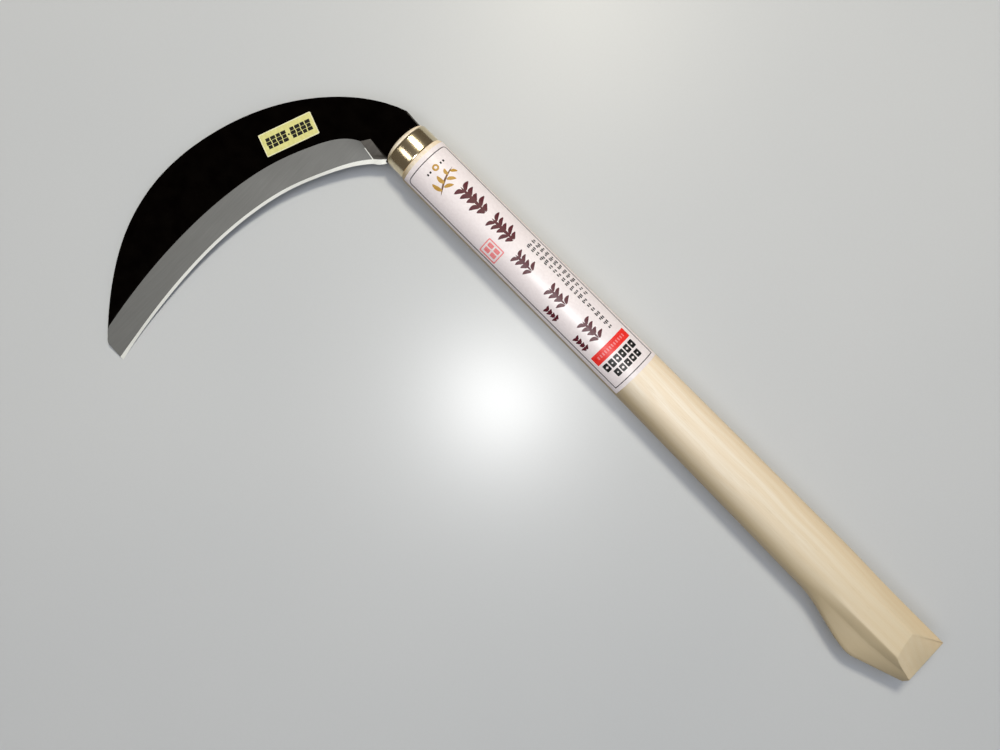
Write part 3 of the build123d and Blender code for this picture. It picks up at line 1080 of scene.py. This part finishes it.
def label_facing(point):
    back, front = label_section(point[0])
    angle = pi / 2 - point[1] / LABEL_SPREAD
    way = Vector((0.0, cos(angle) * 2 / (front - back), sin(angle) * 2 / HANDLE_HEIGHT))
    return tuple(way.normalized())


def label_mesh(materials):
    reach = LABEL_SPREAD * radians(90 - OVAL_ANGLES[0])
    sheet = block(LABEL_END_X, SHOULDER_X, -reach, reach)
    shapes = [(ink, [unrolled(point) for point in outline]) for ink, outline in label_print()]
    guides = [((LABEL_END_X, y), (SHOULDER_X, y)) for y in np.linspace(-reach, reach, 42)[1:-1]]
    guides += [((x, -reach), (x, reach)) for x in np.linspace(LABEL_END_X, SHOULDER_X, 22)[1:-1]]
    return printed_mesh("label_print", sheet, shapes, guides, materials, label_surface, label_facing)


def sticker_surface(point, upper):
    x, y = point[0], point[1]
    u = STICKER_CENTRE[0] + x * cos(STICKER_ANGLE) - y * sin(STICKER_ANGLE)
    v = STICKER_CENTRE[1] + x * sin(STICKER_ANGLE) + y * cos(STICKER_ANGLE)
    return blade_place((u, v, BLADE_THICKNESS + STICKER_GAP + (PAPER - STICKER_GAP) * upper))


def sticker_facing(point):
    return (0.0, sin(BLADE_TILT), cos(BLADE_TILT))


def sticker_mesh(materials):
    length, width = STICKER_LENGTH / 2, STICKER_WIDTH / 2
    sheet, shapes = rounded(-length, length, -width, width, 0.5), sticker_print()
    return printed_mesh("sticker_print", sheet, shapes, [], materials, sticker_surface, sticker_facing)


# ---- floor, lights


def floor_material():
    paint = Paint("pale_floor", Roughness=0.38, Specular_IOR_Level=0.3)
    cloud = paint.noise((3, 3, 3))
    speck = paint.noise((900, 900, 900), detail=2.0)
    paint.ramp(cloud, (0.3, "C6C8CA"), (0.7, "CCCDCE"))
    paint.tint("B8B8B8", speck, 0.3, 0.7, 0.0, 0.06)
    return paint.finish(cloud, 0.34, 0.40)


def lay_floor():
    half = 2.0
    data = bpy.data.meshes.new("floor")
    corners = [(half * x, half * y, TABLE_Z) for x, y in ((-1, -1), (1, -1), (1, 1), (-1, 1))]
    data.from_pydata(corners, [], [(0, 1, 2, 3)])
    data.materials.append(floor_material())
    placed("floor", data)


def area_light(name, place, target, length, width, power, colour=(1, 1, 1)):
    """A rectangular light, its length along X as nearly as can be."""
    data = bpy.data.lights.new(name, "AREA")
    data.shape = "RECTANGLE"
    data.size = length
    data.size_y = width
    data.energy = power
    data.color = colour
    light = placed(name, data)
    light.location = place
    back = (Vector(place) - Vector(target)).normalized()
    along = (Vector((1, 0, 0)) - back * back.x).normalized()
    light.rotation_euler = Matrix((along, back.cross(along), back)).transposed().to_euler()
    return light


FERRULE_PLACE = Vector((0.25, 0.0, 0.0))
KEY_WAY = Vector((0.26, -0.50, 1.0))
FILL_WAY = Vector((0.26, 0.46, 1.0))
LAMP_HEIGHT = 1.05


def set_lights():
    # two lamps, one on either side, stand where the ferrule mirrors them
    key, fill = FERRULE_PLACE + KEY_WAY * LAMP_HEIGHT, FERRULE_PLACE + FILL_WAY * LAMP_HEIGHT
    area_light("key_strip", key, FERRULE_PLACE, 0.25, 0.21, 7.8, (1.0, 0.94, 0.78))
    area_light("fill_strip", fill, FERRULE_PLACE, 0.22, 0.28, 0.8, (1.0, 0.95, 0.84))
    # an even light, as from a pale ceiling, which no surface mirrors
    ceiling = area_light("ceiling", (0.1, 0.0, 1.1), (0.1, 0.0, 0.0), 1.6, 1.6, 9.4, (0.77, 0.86, 1.0))
    ceiling.visible_glossy = False
    # a small lamp beside the camera, which shines back from the floor under it
    glare = area_light("glare", (0.125, 0.065, 0.43), (0.125, 0.065, 0.0), 0.03, 0.03, 2.3)
    glare.visible_diffuse = False
    world = bpy.data.worlds.new("studio")
    world.use_nodes = True
    sky = world.node_tree.nodes["Background"].inputs
    sky["Color"].default_value = (1.0, 0.86, 0.70, 1.0)
    sky["Strength"].default_value = 0.13
    bpy.context.scene.world = world
    bpy.context.scene.view_settings.view_transform = "Standard"


# ---- making

place_camera()
set_lights()
lay_floor()

wood = wood_material()
lacquer = lacquer_material()
# name, light, dark, metallic, least and greatest roughness, the marks' scale and depth
ground_finishes = (
    ("ground_bevel", "6B6B69", "646462", 0.2, 0.50, 0.58, (1400, 60, 60), 0.000002),
    ("ground_run_out", "3A362F", "2C2823", 0.3, 0.4, 0.5, (900, 120, 120), 0.00001),
    # the honed strip's near-white, hardly metallic colour is partly its paler steel and partly a painted
    # reflection
    ("honed_edge_painted_sheen", "E0E0DA", "D4D4CE", 0.1, 0.42, 0.5, (1600, 90, 90), 0.00001),
    ("ground_back", "A8A8A8", "8C8C8E", 0.9, 0.3, 0.45, (1200, 60, 60), 0.00002),
    ("pin_steel", "B4B2AE", "8E8B86", 1.0, 0.3, 0.45, (900, 900, 80), 0.00002),
)
bevel_steel, run_out_steel, honed_steel_painted_sheen, back_steel, pin_steel = (
    ground_material(*finish) for finish in ground_finishes
)

blade_finishes = [lacquer, bevel_steel, run_out_steel, honed_steel_painted_sheen]
blade = combined(
    blade_prism(blade_finishes),
    ("DIFFERENCE", dome_mesh([lacquer])),
    ("UNION", tang_mesh([lacquer])),
    ("DIFFERENCE", rod_mesh([lacquer])),
    ("DIFFERENCE", seat_cutter(blade_finishes)),
    ("DIFFERENCE", bevel_cutter(blade_finishes)),
    smooth_below=28,
)
add_piece(blade, "blade_body")
add_piece(outward(steel_mesh([honed_steel_painted_sheen, back_steel])), "edge_steel")

handle = combined(
    handle_mesh([wood]),
    ("DIFFERENCE", tang_mesh([wood], grow=SLOT_GAP)),
    ("DIFFERENCE", rod_mesh([wood])),
)
add_piece(handle, "handle")
add_piece(ferrule_mesh([plated_material()]), "ferrule")

label_inks = [paper_material("label_paper", "F5EBEC", "EDE2E3")]
for name, colour, thin in (
    ("ink_border", "383236", "4A4448"), ("ink_maroon", "500C1C", "641C2C"),
    ("ink_dark", "0C0C0C", "1C1B1C"), ("ink_gold", "B8892C", "CDA54C"),
    ("ink_brown", "6B4422", "86603A"), ("ink_pink", "EE7A7E", "F6A2A2"),
    ("ink_red", "F0201A", "F4463C"),
):
    label_inks.append(ink_material(name, colour, thin))
add_piece(label_mesh(label_inks), "handle_label")
sticker_inks = [
    paper_material("sticker_rim", "EFEBC4", "E4DFB2"),
    paper_material("sticker_field", "E2DE92", "D4CE7C"),
    ink_material("sticker_ink", "0E0D0A", "24221A"),
]
add_piece(sticker_mesh(sticker_inks), "blade_sticker")

for material_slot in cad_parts["tang_pin"].material_slots:
    material_slot.material = pin_steel
